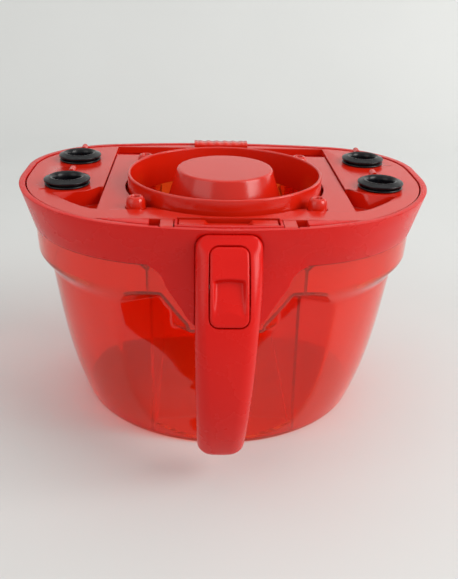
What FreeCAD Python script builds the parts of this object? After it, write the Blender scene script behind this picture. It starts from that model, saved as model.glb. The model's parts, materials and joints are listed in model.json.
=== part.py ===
"""Dust container of a bagless vacuum cleaner: bowl, collar, handle with a thumb button, hinged lid.

Millimetres. +Z is up and the handle points to -Y. The origin is on the base, under the duct's axis.
"""
import FreeCAD, Part
import math
import os

import Sketcher
from FreeCAD import Placement, Rotation
from FreeCAD import Vector as V

SIZES = {
    # heights
    "rim_height": 166.0, "collar_foot": 139.5, "ledge_top": 150.0, "ledge_depth": 3.0,
    "pocket_floor": 160.0, "apron_foot": 98.0, "bowl_rim_top": 145.4, "floor_thickness": 3.0,
    # outline of the collar's rim
    "rim_half_width": 139.0, "rim_side_x": 34.0, "rim_side_y": 13.4, "rim_front_radius": 240.0,
    "rim_corner_x": 74.0, "rim_corner_y": 36.0, "rim_back_radius": 471.0,
    # insets from the rim's outline
    "collar_foot_inset": 7.7, "collar_wall_inset": 10.0, "pocket_inset": 4.0, "throat_inset": 8.5,
    "ledge_inset": 14.0, "bowl_rim_inset": 10.6, "bowl_mouth_inset": 13.1,
    # front edges of the lid's pocket and of the ledge
    "pocket_front": -76.2, "ledge_front": -70.5, "pocket_corner_radius": 12.0,
    # sections of the bowl, from the base up
    "base_level": 0.0, "base_half_width": 103.5, "base_side_x": 2.0, "base_side_y": 34.0,
    "base_front_radius": 105.0, "base_corner_x": 56.0, "base_corner_y": 35.0,
    "base_back_radius": 400.0,
    "low_level": 25.0, "low_half_width": 111.0, "low_side_x": 6.0, "low_side_y": 31.0,
    "low_front_radius": 125.0, "low_corner_x": 60.0, "low_corner_y": 35.0,
    "low_back_radius": 430.0,
    "waist_level": 60.0, "waist_half_width": 117.3, "waist_side_x": 12.0, "waist_side_y": 26.0,
    "waist_front_radius": 150.0, "waist_corner_x": 64.0, "waist_corner_y": 36.0,
    "waist_back_radius": 450.0,
    "shoulder_level": 107.0, "shoulder_half_width": 122.3, "shoulder_side_x": 24.0,
    "shoulder_side_y": 18.5, "shoulder_front_radius": 200.0, "shoulder_corner_x": 68.0,
    "shoulder_corner_y": 36.0, "shoulder_back_radius": 460.0,
    "band_level": 122.0, "band_half_width": 130.0, "band_side_x": 34.0, "band_side_y": 15.5,
    "band_front_radius": 231.0, "band_corner_x": 74.0, "band_corner_y": 36.0,
    "band_back_radius": 462.0,
    "top_level": 139.5, "top_half_width": 131.0, "top_side_x": 34.0, "top_side_y": 15.5,
    "top_front_radius": 232.0, "top_corner_x": 74.0, "top_corner_y": 36.0,
    "top_back_radius": 463.0,
    "bowl_wall": 2.6,
    # finger scoop in the bowl's front
    "scoop_reach": 80.0, "scoop_front": -160.0, "scoop_middle": -52.0, "scoop_low": -55.5,
    "scoop_foot": -59.5,
    # partitions
    "partition_x": 47.0, "partition_thickness": 2.0, "partition_bend": 134.0,
    "partition_top": 146.0, "partition_flare": 11.0,
    # handle, an arc about a centre behind it
    "grip_centre_y": -11.4, "grip_centre_z": 82.3, "grip_outer_radius": 116.6,
    "grip_inner_radius": 97.6, "grip_split_radius": 108.6, "grip_end_angle": 29.4,
    "handle_top": 163.3, "handle_back": -86.8, "handle_half_width": 19.6, "handle_wall": 2.5,
    "handle_end_half_width": 14.9, "handle_end_height": 34.0, "handle_corner": 8.5,
    "arch_height": 88.0,
    # button
    "button_half_width": 11.2, "button_gap": 0.5, "button_top_angle": 40.6,
    "button_foot_angle": 17.7, "button_proud": 0.3, "button_depth": 6.0, "button_pin_y": -106.8,
    "button_pin_z": 136.0, "button_pin_radius": 2.0, "button_pin_reach": 17.8,
    "running_gap": 0.05, "scoop_half_width": 9.0, "scoop_radius": 39.6, "arm_level": 150.4,
    "arm_thickness": 2.8, "arm_half_width": 4.5,
    # hinge
    "hinge_y": -86.0, "hinge_z": 161.5, "hinge_pin_radius": 1.5, "lug_radius": 3.8,
    "lug_inner_x": 32.2, "lug_outer_x": 40.0, "hinge_pin_inner": 30.3, "hinge_pin_outer": 49.5,
    # latch bar
    "bar_half_width": 29.4, "bar_front": -85.4, "bar_back": -74.6, "bar_foot": 153.6,
    "bar_middle_top": 163.0, "bar_end_top": 165.2, "bar_end_inner": 14.0,
    # lid
    "lid_gap": 1.0, "lid_lift": 0.3, "lid_top": 165.5, "lid_foot": 152.2, "lid_front": -74.9,
    "lid_floor_top": 154.6, "skirt_inset": 9.4, "recess_half_width": 80.6, "recess_front": -58.5,
    "recess_back": 94.0, "recess_radius": 70.2, "platform_thickness": 2.5,
    # duct
    "duct_radius": 65.3, "duct_wall": 2.0, "duct_top": 173.8, "duct_foot": 150.6,
    "boss_x": 56.4, "boss_y": 49.9, "boss_radius": 4.85, "boss_top": 172.6,
    "plate_half_width": 80.1, "plate_front": -58.0, "plate_back": 75.8, "plate_top": 164.0,
    "plate_thickness": 2.5, "flange_foot": 156.0, "flange_top": 158.4, "flange_radius": 69.6,
    "cone_top": 175.9, "cone_top_radius": 32.5, "cone_foot": 142.0, "cone_foot_radius": 42.9,
    "cone_wall": 2.0,
    # seals
    "seal_x": 105.0, "front_seal_y": -7.0, "rear_seal_y": 54.7, "seal_radius": 15.35,
    "seal_bore": 8.5, "seal_neck": 10.5, "seal_top": 171.2,
}

ROTATION = {
    "XY": Rotation(),
    "XZ": Rotation(V(1, 0, 0), 90),
    "YZ": Rotation(V(1, 1, 1), 120),
}

doc = FreeCAD.newDocument("dust_container")
sheet = doc.addObject("Spreadsheet::Sheet", "sizes")
for row, (alias, value) in enumerate(SIZES.items(), start=1):
    sheet.set(f"A{row}", alias)
    sheet.set(f"B{row}", str(value))
    sheet.setAlias(f"B{row}", alias)
doc.recompute()

nodes = []


class Dim:
    """A number together with the spreadsheet expression that gives it."""

    def __init__(self, value, text=None):
        self.value = float(value)
        self.text = text or repr(float(value))

    def __add__(self, other):
        other = dim(other)
        return Dim(self.value + other.value, f"({self.text} + {other.text})")

    def __sub__(self, other):
        other = dim(other)
        return Dim(self.value - other.value, f"({self.text} - {other.text})")

    def __mul__(self, factor):
        return Dim(self.value * factor, f"({self.text} * {factor})")

    def __rsub__(self, other):
        return dim(other) - self

    def __neg__(self):
        return self * -1.0


def dim(value):
    return value if isinstance(value, Dim) else Dim(value)


def size(alias):
    return Dim(SIZES[alias], f"sizes.{alias}")


def bind(obj, prop, value):
    """Binds a property to the expression of a Dim."""
    obj.setExpression(prop, dim(value).text)


def place(obj, x=0.0, y=0.0, z=0.0, rotation=None):
    obj.Placement = Placement(V(dim(x).value, dim(y).value, dim(z).value), rotation or Rotation())
    for axis, value in zip("xyz", (x, y, z)):
        bind(obj, f"Placement.Base.{axis}", value)
    return obj


def box(name, x0, x1, y0, y1, z0, z1):
    """A box between two opposite corners."""
    obj = doc.addObject("Part::Box", name)
    bind(obj, "Length", dim(x1) - x0)
    bind(obj, "Width", dim(y1) - y0)
    bind(obj, "Height", dim(z1) - z0)
    return place(obj, x0, y0, z0)


def cylinder(name, radius, length, x=0.0, y=0.0, z=0.0, direction=V(0, 0, 1)):
    """A cylinder that starts at a point and runs along a direction."""
    obj = doc.addObject("Part::Cylinder", name)
    bind(obj, "Radius", radius)
    bind(obj, "Height", length)
    return place(obj, x, y, z, Rotation(V(0, 0, 1), direction))


def join(name, shapes):
    obj = doc.addObject("Part::MultiFuse", name)
    obj.Shapes = shapes
    return obj


def cut(name, base, *tools):
    """Cuts the tools, joined first where there are several, from the base."""
    obj = doc.addObject("Part::Cut", name)
    obj.Base = base
    obj.Tool = tools[0] if len(tools) == 1 else join(f"{name}_tools", list(tools))
    return obj


def common(name, first, second):
    obj = doc.addObject("Part::Common", name)
    obj.Base = first
    obj.Tool = second
    return obj


def extrude(name, profile, length, direction=V(0, 0, 1)):
    obj = doc.addObject("Part::Extrusion", name)
    obj.Base = profile
    obj.DirMode = "Custom"
    obj.Dir = direction
    obj.Solid = True
    bind(obj, "LengthFwd", length)
    return obj


def revolve(name, profile):
    """Turns a profile in the XZ plane about the Z axis."""
    obj = doc.addObject("Part::Revolution", name)
    obj.Source = profile
    obj.Axis = V(0, 0, 1)
    obj.Angle = 360.0
    obj.Solid = True
    return obj


def loft(name, sections):
    obj = doc.addObject("Part::Loft", name)
    obj.Sections = sections
    obj.Solid = True
    obj.Ruled = True
    return obj


def node(obj, label):
    """Names an object as a sub-part of its own."""
    obj.Label = label
    nodes.append(obj)
    return obj


def constrain(sketch, kind, *args):
    """Adds a constraint; a Dim as its last argument is bound to the sheet."""
    if not isinstance(args[-1], Dim):
        return sketch.addConstraint(Sketcher.Constraint(kind, *args))
    index = sketch.addConstraint(Sketcher.Constraint(kind, *args[:-1], args[-1].value))
    sketch.setExpression(f"Constraints[{index}]", args[-1].text)
    return index


def new_sketch(name, plane, offset):
    sketch = doc.addObject("Sketcher::SketchObject", name)
    axis = {"XY": "z", "XZ": "y", "YZ": "x"}[plane]
    return place(sketch, rotation=ROTATION[plane], **{axis: offset})


def arc_centre(start, end, radius):
    """Centre of the arc that turns anticlockwise from start to end, for a positive radius."""
    middle = (start + end) * 0.5
    half = (end - start) * 0.5
    rise = math.sqrt(max(radius ** 2 - half.Length ** 2, 0.0))
    left = V(-half.y, half.x, 0).normalize()
    return middle + left * math.copysign(rise, radius)


def fill_path(sketch, points):
    """Closes a path. A point is (x, y), or (x, y, radius) where an arc starts at it.

    The arc turns left for a positive radius and right for a negative one.
    """
    count = len(points)
    corner = [V(dim(p[0]).value, dim(p[1]).value, 0) for p in points]
    for i, point in enumerate(points):
        start, end = corner[i], corner[(i + 1) % count]
        if len(point) == 2:
            sketch.addGeometry(Part.LineSegment(start, end))
            continue
        radius = dim(point[2]).value
        centre = arc_centre(start, end, radius)
        first, last = (start, end) if radius > 0 else (end, start)
        angles = [math.atan2(p.y - centre.y, p.x - centre.x) for p in (first, last)]
        if angles[1] <= angles[0]:
            angles[1] += 2 * math.pi
        circle = Part.Circle(centre, V(0, 0, 1), abs(radius))
        sketch.addGeometry(Part.ArcOfCircle(circle, *angles))
    for i, point in enumerate(points):
        turns_right = len(point) == 3 and dim(point[2]).value < 0
        following = points[(i + 1) % count]
        next_right = len(following) == 3 and dim(following[2]).value < 0
        tail, head = (1 if turns_right else 2), (2 if next_right else 1)
        constrain(sketch, "Coincident", i, tail, (i + 1) % count, head)
        lead = 2 if turns_right else 1
        constrain(sketch, "DistanceX", -1, 1, i, lead, dim(point[0]))
        constrain(sketch, "DistanceY", -1, 1, i, lead, dim(point[1]))
        if len(point) == 3:
            radius = dim(point[2])
            constrain(sketch, "Radius", i, radius if radius.value > 0 else -radius)
    return sketch


def path(name, plane, offset, points):
    return fill_path(new_sketch(name, plane, offset), points)


def add_arc(sketch, centre, radius, start, end):
    circle = Part.Circle(V(centre[0], centre[1], 0), V(0, 0, 1), radius)
    return sketch.addGeometry(Part.ArcOfCircle(circle, start, end))


def fix_centre(sketch, index, x, y):
    constrain(sketch, "DistanceX", -1, 1, index, 3, x)
    constrain(sketch, "DistanceY", -1, 1, index, 3, y)


def section(prefix):
    keys = ("half_width", "side_x", "side_y", "front_radius", "corner_x", "corner_y", "back_radius")
    return {key: size(f"{prefix}_{key}") for key in keys}


def outline(name, level, shape, inset=0.0, front=None, corner_radius=None):
    """A smooth D-like outline of tangent arcs, symmetric about the YZ plane.

    Its front is a wide arc, or a straight edge with rounded corners where front is given.
    """
    side_radius = shape["half_width"] - shape["side_x"] - inset
    corner = shape["half_width"] - shape["corner_x"] - inset
    back = shape["back_radius"] - inset
    side_x, side_y = shape["side_x"], shape["side_y"]
    corner_x, corner_y = shape["corner_x"], shape["corner_y"]
    sketch = new_sketch(name, "XY", level)

    back_y = corner_y.value - math.sqrt((back.value - corner.value) ** 2 - corner_x.value ** 2)
    back_angle = math.atan2(corner_y.value - back_y, corner_x.value)
    width = side_x.value + side_radius.value
    if front is None:
        front_radius = shape["front_radius"] - inset
        reach = math.sqrt((front_radius.value - side_radius.value) ** 2 - side_x.value ** 2)
        front_y = side_y.value + reach
        lean = math.atan2(side_y.value - front_y, side_x.value)
        edges = [add_arc(sketch, (0, front_y), front_radius.value, -math.pi - lean, lean)]
        radii = {0: front_radius}
    else:
        centre_y = front.value + corner_radius.value
        reach = side_radius.value - corner_radius.value
        centre_x = side_x.value + math.sqrt(reach ** 2 - (centre_y - side_y.value) ** 2)
        lean = math.atan2(centre_y - side_y.value, centre_x - side_x.value)
        ends = V(-centre_x, front.value, 0), V(centre_x, front.value, 0)
        edges = [sketch.addGeometry(Part.LineSegment(*ends))]
        edges.append(add_arc(sketch, (centre_x, centre_y), corner_radius.value, -math.pi / 2, lean))
        radii = {1: corner_radius}
    right_side = len(edges)
    edges.append(add_arc(sketch, (side_x.value, side_y.value), side_radius.value, lean, 0))
    ends = V(width, side_y.value, 0), V(width, corner_y.value, 0)
    edges.append(sketch.addGeometry(Part.LineSegment(*ends)))
    edges.append(add_arc(sketch, (corner_x.value, corner_y.value), corner.value, 0, back_angle))
    edges.append(add_arc(sketch, (0, back_y), back.value, back_angle, math.pi - back_angle))
    edges.append(add_arc(sketch, (-corner_x.value, corner_y.value), corner.value,
                         math.pi - back_angle, math.pi))
    ends = V(-width, corner_y.value, 0), V(-width, side_y.value, 0)
    edges.append(sketch.addGeometry(Part.LineSegment(*ends)))
    left_side = len(edges)
    edges.append(add_arc(sketch, (-side_x.value, side_y.value), side_radius.value,
                         math.pi, math.pi - lean))
    if front is not None:
        edges.append(add_arc(sketch, (-centre_x, centre_y), corner_radius.value,
                             math.pi - lean, 3 * math.pi / 2))
        radii[left_side + 1] = corner_radius
    for index in range(len(edges)):
        constrain(sketch, "Tangent", index, 2, (index + 1) % len(edges), 1)
    radii.update({right_side: side_radius, left_side: side_radius, right_side + 2: corner,
                  right_side + 4: corner, right_side + 3: back})
    for index, radius in radii.items():
        constrain(sketch, "Radius", index, radius)
    fix_centre(sketch, right_side, side_x, side_y)
    fix_centre(sketch, left_side, -side_x, side_y)
    fix_centre(sketch, right_side + 2, corner_x, corner_y)
    fix_centre(sketch, right_side + 4, -corner_x, corner_y)
    if front is not None:
        constrain(sketch, "Horizontal", 0)
        constrain(sketch, "DistanceY", -1, 1, 0, 1, front)
    return sketch


RIM = section("rim")
CORNER = size("pocket_corner_radius")


def slab(name, low, high, inset, front=None):
    """An upright block of the rim's outline, set in by an amount."""
    corner = CORNER if front is not None else None
    profile = outline(f"{name}_outline", low, RIM, inset, front, corner)
    return extrude(name, profile, dim(high) - low)


def mirrored(make):
    """Calls a maker for the right side, 1, and for the left side, -1."""
    return [make(side, word) for side, word in ((1, "right"), (-1, "left"))]


def span(side, near, far):
    """The two x limits, low first, of a block from near to far on one side."""
    near, far = dim(near), dim(far)
    return (near, far) if side > 0 else (-far, -near)


# ---------------------------------------------------------------- bowl

LEVELS = ("base", "low", "waist", "shoulder", "band", "top")


def bowl_block(name, wall):
    """The bowl's convex body, set in by a wall thickness: solid inside and out."""
    sections = []
    for prefix in LEVELS:
        level = size(f"{prefix}_level")
        inset = wall
        shape = section(prefix)
        if wall and prefix == "base":
            level = level + size("floor_thickness")
        if wall and prefix == "top":
            shape, inset = RIM, size("bowl_mouth_inset")
        sections.append(outline(f"{name}_{prefix}", level, shape, inset))
    return loft(name, sections)


def scoop_section(name, level, edge, middle):
    """A cutter's outline at one level: a curved back edge and a straight front."""
    reach, front = size("scoop_reach"), size("scoop_front")
    sag = abs(middle.value - edge.value)
    radius = (SIZES["scoop_reach"] ** 2 + sag ** 2) / (2 * sag)
    if middle.value > edge.value:
        curve = (reach, edge, radius)
    else:
        curve = (reach, edge, -radius)
    return path(name, "XY", level, [(-reach, edge), (-reach, front), (reach, front), curve])


def scoop_cutter(name, wall):
    """Hollows the bowl's front for the fingers, and spares a tongue behind the handle."""
    rise = 2.8 if wall else 0.0
    drop = 3.0 if wall else 0.0
    rows = [
        (dim(120.0 + rise), dim(-74.0), dim(-88.0)),
        (dim(107.0 + rise), dim(-75.1), size("scoop_middle")),
        (dim(80.0), dim(-73.4), size("scoop_middle")),
        (dim(40.0), dim(-68.6), size("scoop_low")),
        (dim(15.0 - drop), dim(-66.7), size("scoop_foot")),
        (dim(3.0 - drop), dim(-71.5), dim(-70.5)),
    ]
    sections = []
    for i, (level, edge, middle) in enumerate(rows):
        sections.append(scoop_section(f"{name}_{i}", level, edge + wall, middle + wall))
    tongue = []
    for depth, spread, fall in ((-95.0, 0.0, 0.0), (-45.0, 14.0, 12.0)):
        x = [spread - wall + value for value in (19.0, 24.0, 34.0, 42.0)]
        z = [wall - fall + value for value in (97.0, 103.0, 117.0)] + [130.0]
        corners = [(-x[i], z[i]) for i in (3, 2, 1, 0)] + [(x[i], z[i]) for i in range(4)]
        tongue.append(path(f"{name}_tongue{depth:.0f}", "XZ", depth, corners))
    return cut(name, loft(f"{name}_block", sections), loft(f"{name}_tongue", tongue))


def make_bowl():
    wall = SIZES["bowl_wall"]
    rim = slab("bowl_rim", size("top_level"), size("bowl_rim_top"), size("bowl_rim_inset"))
    outside = join("bowl_outside", [bowl_block("bowl_convex", 0.0), rim])
    mouth = slab("bowl_mouth", size("top_level"), size("bowl_rim_top") + 2.0,
                 size("bowl_mouth_inset"))
    inside = join("bowl_inside", [bowl_block("bowl_hollow", wall), mouth])
    cavity = cut("bowl_cavity", inside, scoop_cutter("scoop_inner", wall))
    body = cut("bowl_body", outside, scoop_cutter("scoop_outer", 0.0))
    node(cut("bowl", body, cavity), "dust_bowl")
    return cavity


def make_partitions(cavity):
    """Walls between the coarse-dust chamber and the fine-dust chambers beside it."""
    near, thick = size("partition_x"), size("partition_thickness")
    flare, bend, top = size("partition_flare"), size("partition_bend"), size("partition_top")
    floor = dim(-5.0)

    def partition(side, word):
        points = [(near, floor), (near + thick, floor), (near + thick, bend),
                  (near + thick + flare, bend + flare), (near + thick + flare, top),
                  (near + flare, top), (near, bend + 1.0)]
        if side < 0:
            points = [(-x, z) for x, z in reversed(points)]
        profile = path(f"partition_{word}_profile", "XZ", 120.0, points)
        wall = extrude(f"partition_{word}_wall", profile, 240.0, V(0, -1, 0))
        return node(common(f"partition_{word}", wall, cavity), f"partition_{word}")

    mirrored(partition)


# ---------------------------------------------------------------- collar

def make_collar():
    foot, rim_height = size("collar_foot"), size("rim_height")
    ledge, ledge_foot = size("ledge_top"), size("ledge_top") - size("ledge_depth")
    foot_inset, wall_inset = size("collar_foot_inset"), size("collar_wall_inset")
    pocket_front = size("pocket_front")
    band = loft("collar_band", [outline("collar_foot_outline", foot, RIM, foot_inset),
                                outline("collar_rim_outline", rim_height, RIM)])
    sheet_block = slab("apron_block", size("apron_foot"), foot, foot_inset)
    apron_curve = path("apron_outline", "XZ", -60.0, [
        (-52.0, 142.0), (-47.0, 138.5, -14.0), (-37.5, 127.0), (-27.0, 111.0, 30.0),
        (-16.0, 98.0), (16.0, 98.0, 30.0), (27.0, 111.0), (37.5, 127.0, -14.0), (47.0, 138.5),
        (52.0, 142.0)])
    apron = common("apron", sheet_block, extrude("apron_prism", apron_curve, 60.0, V(0, -1, 0)))
    solid = join("collar_solid", [band, apron])
    hollow = slab("collar_hollow", 90.0, ledge_foot, wall_inset)
    mouth = slab("collar_mouth", ledge_foot - 1.0, ledge + 1.0, size("ledge_inset"),
                 size("ledge_front"))
    throat = slab("collar_throat", ledge, size("pocket_floor") + 1.0, size("throat_inset"),
                  pocket_front)
    pocket = slab("collar_pocket", size("pocket_floor"), rim_height + 2.0,
                  size("pocket_inset"), pocket_front)
    channel = box("latch_channel", -30.0, 30.0, -86.0, -70.0, 153.3, 170.0)
    arm_slot = box("arm_slot", -5.4, 5.4, -100.0, -70.0, 150.0, 157.0)
    tools = [hollow, mouth, throat, pocket, channel, arm_slot]

    def slot(side, word):
        """Room for a hinge lug to turn, and a shallower cut beside it that shows the pin."""
        hinge_y, hinge_z = size("hinge_y"), size("hinge_z")
        room = size("lug_radius") + 0.5
        x0, x1 = span(side, size("lug_inner_x") - 0.6, size("lug_outer_x") + 0.6)
        turning = cylinder(f"lug_room_{word}", room, x1 - x0, x0, hinge_y, hinge_z, V(1, 0, 0))
        above = box(f"lug_way_{word}", x0, x1, hinge_y - room, -70.0, hinge_z, 170.0)
        behind = box(f"lug_back_{word}", x0, x1, hinge_y, -70.0, hinge_z - room, 170.0)
        x0, x1 = span(side, size("lug_outer_x"), size("hinge_pin_outer") - 3.0)
        beside = box(f"pin_view_{word}", x0, x1, -88.2, -70.0, 159.5, 170.0)
        return join(f"hinge_slot_{word}", [turning, above, behind, beside])

    def pin_hole(side, word):
        x0, x1 = span(side, size("hinge_pin_inner"), size("hinge_pin_outer"))
        return cylinder(f"hinge_hole_{word}", size("hinge_pin_radius"), x1 - x0, x0,
                        size("hinge_y"), size("hinge_z"), V(1, 0, 0))

    tools += mirrored(slot) + mirrored(pin_hole)
    node(cut("collar", solid, *tools), "collar")

    outer = slab("bowl_seal_outer", size("bowl_rim_top"), ledge_foot, size("bowl_rim_inset"))
    inner = slab("bowl_seal_inner", size("bowl_rim_top") - 1.0, ledge_foot + 1.0,
                 size("bowl_mouth_inset"))
    node(cut("bowl_seal", outer, inner), "bowl_seal")
    return solid


def make_hinge_pins():
    def pin(side, word):
        body = doc.addObject("PartDesign::Body", f"hinge_pin_{word}")
        plane = [f for f in body.Origin.OriginFeatures if f.Role == "YZ_Plane"][0]
        sketch = body.newObject("Sketcher::SketchObject", f"hinge_pin_{word}_circle")
        sketch.AttachmentSupport = (plane, "")
        sketch.MapMode = "FlatFace"
        sketch.addGeometry(Part.Circle(V(0, 0, 0), V(0, 0, 1), SIZES["hinge_pin_radius"]))
        constrain(sketch, "Coincident", 0, 3, -1, 1)
        constrain(sketch, "Radius", 0, size("hinge_pin_radius"))
        pad = body.newObject("PartDesign::Pad", f"hinge_pin_{word}_pad")
        pad.Profile = sketch
        bind(pad, "Length", size("hinge_pin_outer") - size("hinge_pin_inner"))
        x0 = span(side, size("hinge_pin_inner"), size("hinge_pin_outer"))[0]
        return node(place(body, x0, size("hinge_y"), size("hinge_z")), f"hinge_pin_{word}")

    mirrored(pin)


# ---------------------------------------------------------------- handle

CENTRE_Y, CENTRE_Z = size("grip_centre_y"), size("grip_centre_z")


def on_grip(angle, radius):
    """A point of the YZ plane at an angle above the horizontal, about the grip's centre."""
    a = math.radians(angle)
    return (CENTRE_Y - dim(radius) * math.cos(a), CENTRE_Z + dim(radius) * math.sin(a))


def handle_block(name, inset):
    """The whole handle: its side view and its front view, intersected, set in by a wall."""
    outer = size("grip_outer_radius") - inset
    inner = size("grip_inner_radius") + inset
    top, back = size("handle_top") - inset * 2.5, size("handle_back") - inset * 1.6
    end = -SIZES["grip_end_angle"]
    rise = top.value - CENTRE_Z.value
    top_y = CENTRE_Y.value - math.sqrt(outer.value ** 2 - rise ** 2)
    arch = size("arch_height") + inset
    arch_drop = arch.value - CENTRE_Z.value
    arch_y = CENTRE_Y.value - math.sqrt(inner.value ** 2 - arch_drop ** 2)
    foot = size("collar_foot")
    collar_y = back - (top - foot) * 0.29
    side = path(f"{name}_side", "YZ", -30.0, [
        (top_y, top, outer), (*on_grip(end, outer), (outer - inner) * 0.53),
        (*on_grip(end, inner), -inner), (arch_y, arch, -14.0),
        (back, size("apron_foot") + inset + 1.0), (back, foot),
        (collar_y, top)])
    half, end_half = size("handle_half_width") - inset, size("handle_end_half_width") - inset
    corner = size("handle_corner") - inset * 0.5
    end_z = size("handle_end_height")
    front = path(f"{name}_front", "XZ", -70.0, [
        (-half, top - corner), (-end_half, end_z, end_half * 1.06), (end_half, end_z),
        (half, top - corner, corner), (half - corner, top), (corner - half, top, corner)])
    return common(name, extrude(f"{name}_wide", side, 60.0, V(1, 0, 0)),
                  extrude(f"{name}_deep", front, 80.0, V(0, -1, 0)))


def radial_cylinder(name, angle, start, end, radius):
    """A cylinder along a radius of the grip, between two distances from its centre."""
    a = math.radians(angle)
    y, z = on_grip(angle, start)
    return cylinder(name, radius, dim(end) - start, 0.0, y, z, V(0, -math.cos(a), math.sin(a)))


SCREW_ANGLES = (-3.0, -22.0)


def wedge(name, half_width, low, high, reach=135.0):
    """A block between two radial planes of the grip."""
    points = [(CENTRE_Y, CENTRE_Z), on_grip(high, reach), on_grip(low, reach)]
    profile = path(f"{name}_profile", "YZ", -dim(half_width), points)
    return extrude(name, profile, dim(half_width) * 2.0, V(1, 0, 0))


def grip_drum(name, radius, half_width=40.0):
    """A drum about the grip's centre line."""
    return cylinder(name, radius, dim(half_width) * 2.0, -dim(half_width), CENTRE_Y, CENTRE_Z,
                    V(1, 0, 0))


def make_handle(collar_block):
    block = handle_block("handle", 0.0)
    hollow = handle_block("handle_hollow", SIZES["handle_wall"])
    split = grip_drum("handle_split", size("grip_split_radius"))
    pin_y, pin_z, pin_r = size("button_pin_y"), size("button_pin_z"), size("button_pin_radius")
    pin_reach = size("button_pin_reach")
    pin_hole = cylinder("button_pin_hole", pin_r, pin_reach * 2.0, -pin_reach, pin_y, pin_z,
                        V(1, 0, 0))
    window = box("handle_window", -5.4, 5.4, -99.0, -80.0, 150.0, 157.0)
    gap, half = size("button_gap"), size("button_half_width")
    opening = cut("button_opening",
                  wedge("button_opening_wedge", half + gap, SIZES["button_foot_angle"] - 0.7,
                        SIZES["button_top_angle"] + 0.4),
                  grip_drum("button_opening_core", 105.0))
    inner_r, outer_r = size("grip_inner_radius"), size("grip_outer_radius")
    bosses, boss_holes, screw_holes, heads, screws = [], [], [], [], []
    for i, angle in enumerate(SCREW_ANGLES):
        bosses.append(radial_cylinder(f"screw_boss{i}", angle, inner_r + 2.5, outer_r - 1.0, 3.4))
        boss_holes.append(radial_cylinder(f"screw_bore{i}", angle, inner_r, outer_r - 3.0, 1.2))
        screw_holes.append(radial_cylinder(f"screw_way{i}", angle, inner_r - 1.0,
                                           inner_r + 3.0, 1.2))
        heads.append(radial_cylinder(f"screw_seat{i}", angle, inner_r - 2.0, inner_r + 1.4, 2.8))
        head = radial_cylinder(f"screw_head{i}", angle, inner_r + 0.3, inner_r + 1.4, 2.8)
        shank = radial_cylinder(f"screw_shank{i}", angle, inner_r + 1.4, outer_r - 3.0, 1.2)
        screws.append(join(f"screw{i}", [head, shank]))
    whole = cut("handle_outer_whole", block, split)
    hollowed = cut("handle_outer_hollowed", whole, hollow, opening, window)
    shell = join("handle_outer_joined", [hollowed] + bosses)
    node(cut("handle_outer", shell, collar_block, pin_hole, *boss_holes), "handle_outer_shell")

    half_block = common("handle_inner_whole", block,
                        grip_drum("handle_inner_drum", size("grip_split_radius")))
    inner_shell = cut("handle_inner_hollowed", half_block,
                      handle_block("handle_inner_hollow", SIZES["handle_wall"]))
    seat = cylinder("spring_seat", 4.6, 13.0, 0.0, -89.5, 121.0, V(0, -1, 0))
    joined = join("handle_inner_joined", [inner_shell, seat])
    node(cut("handle_inner", joined, collar_block, pin_hole, window, *screw_holes, *heads),
         "handle_inner_shell")
    node(join("handle_screw_group", screws), "handle_screws")
    node(cylinder("button_pin", pin_r, pin_reach * 2.0, -pin_reach, pin_y, pin_z, V(1, 0, 0)),
         "button_pivot_pin")


def make_button():
    half, proud = size("button_half_width"), size("button_proud")
    outer_r = size("grip_outer_radius")
    pin_y, pin_z = size("button_pin_y"), size("button_pin_z")
    sector = wedge("button_wedge", half, SIZES["button_foot_angle"], SIZES["button_top_angle"])
    rind = cut("button_rind", grip_drum("button_drum", outer_r + proud),
               grip_drum("button_core", outer_r - size("button_depth")))
    face = common("button_face", sector, rind)
    scoop_y, scoop_z = on_grip(24.1, 153.2)
    scoop_half = size("scoop_half_width")
    scoop = cylinder("button_scoop", size("scoop_radius"), scoop_half * 2.0, -scoop_half, scoop_y,
                     scoop_z, V(1, 0, 0))
    barrel_r = size("button_pin_radius") + 1.9
    barrel = cylinder("button_barrel", barrel_r, half * 2.0, -half, pin_y, pin_z, V(1, 0, 0))
    arm_level, arm_half = size("arm_level"), size("arm_half_width")
    arm = box("button_arm", -arm_half, arm_half, -100.5, -80.0, arm_level,
              arm_level + size("arm_thickness"))
    solid = join("button_solid", [face, barrel, arm])
    bore = cylinder("button_bore", size("button_pin_radius") + size("running_gap"), half * 3.0,
                    half * -1.5, pin_y, pin_z, V(1, 0, 0))
    node(cut("button", solid, scoop, bore), "release_button")


def make_button_spring():
    """A coil between the seat in the handle and the button's back."""
    helix = doc.addObject("Part::Helix", "button_spring_line")
    helix.Pitch = 2.6
    helix.Height = 9.1
    helix.Radius = 3.4
    place(helix, 0.0, -103.0, 121.0, Rotation(V(0, 0, 1), V(0, -1, 0)))
    doc.recompute()
    start = helix.Shape.Edges[0].Vertexes[0].Point
    wire_circle = doc.addObject("Part::Circle", "button_spring_wire")
    wire_circle.Radius = 0.45
    tangent = helix.Shape.Edges[0].tangentAt(helix.Shape.Edges[0].FirstParameter)
    wire_circle.Placement = Placement(start, Rotation(V(0, 0, 1), tangent))
    sweep = doc.addObject("Part::Sweep", "button_spring")
    sweep.Sections = [wire_circle]
    sweep.Spine = (helix, ["Edge1"])
    sweep.Solid = True
    sweep.Frenet = True
    node(sweep, "button_return_spring")


def make_latch_bar():
    half, front, back = size("bar_half_width"), size("bar_front"), size("bar_back")
    foot, middle_top = size("bar_foot"), size("bar_middle_top")
    end_top, inner = size("bar_end_top"), size("bar_end_inner")
    profile = path("latch_bar_profile", "XZ", back, [
        (-half, foot), (half, foot), (half, end_top), (inner, end_top), (inner - 2.0, middle_top),
        (2.0 - inner, middle_top), (-inner, end_top), (-half, end_top)])
    node(extrude("latch_bar_block", profile, back - front, V(0, -1, 0)), "latch_bar")


# ---------------------------------------------------------------- lid

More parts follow.
